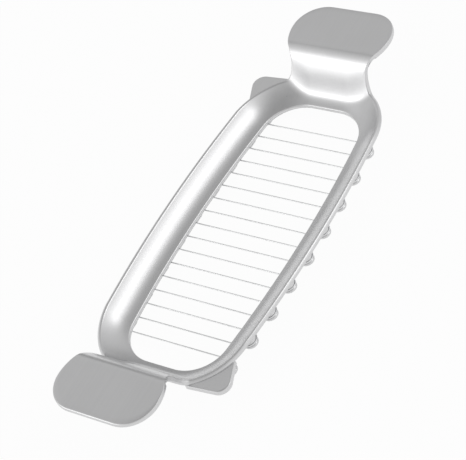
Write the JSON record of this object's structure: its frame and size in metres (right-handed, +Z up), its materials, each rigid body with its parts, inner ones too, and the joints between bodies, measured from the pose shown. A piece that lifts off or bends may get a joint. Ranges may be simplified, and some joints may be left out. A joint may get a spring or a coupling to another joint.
{
  "type": "wire butter slicer",
  "caption": "Cast metal frame with a paddle handle at each end and steel wires across its opening, for cutting a block into even pats.",
  "frame": {"origin": "on the surface that the slicer stands on, under the middle of the opening", "axes": "+X along the slicer to one handle, +Y along the cutting wires, +Z up"},
  "size_m": [0.231, 0.08, 0.0262],
  "materials": {
    "cast_metal": "satin",
    "wire_steel": "bright drawn wire",
    "screw_steel": "plain"
  },
  "bodies": {
    "root": {"frame": "cast_metal", "wire_01": "wire_steel", "wire_02": "wire_steel", "wire_03": "wire_steel", "wire_04": "wire_steel", "wire_05": "wire_steel", "wire_06": "wire_steel", "wire_07": "wire_steel", "wire_08": "wire_steel", "wire_09": "wire_steel", "wire_10": "wire_steel", "wire_11": "wire_steel", "wire_12": "wire_steel", "wire_13": "wire_steel", "wire_14": "wire_steel", "wire_15": "wire_steel", "wire_16": "wire_steel", "wire_17": "wire_steel", "wire_turns_left": "wire_steel", "wire_turns_right": "wire_steel", "wire_end_left": "wire_steel", "wire_end_right": "wire_steel", "anchor_screw_left": "screw_steel", "anchor_screw_right": "screw_steel"}
  },
  "joints": []
}
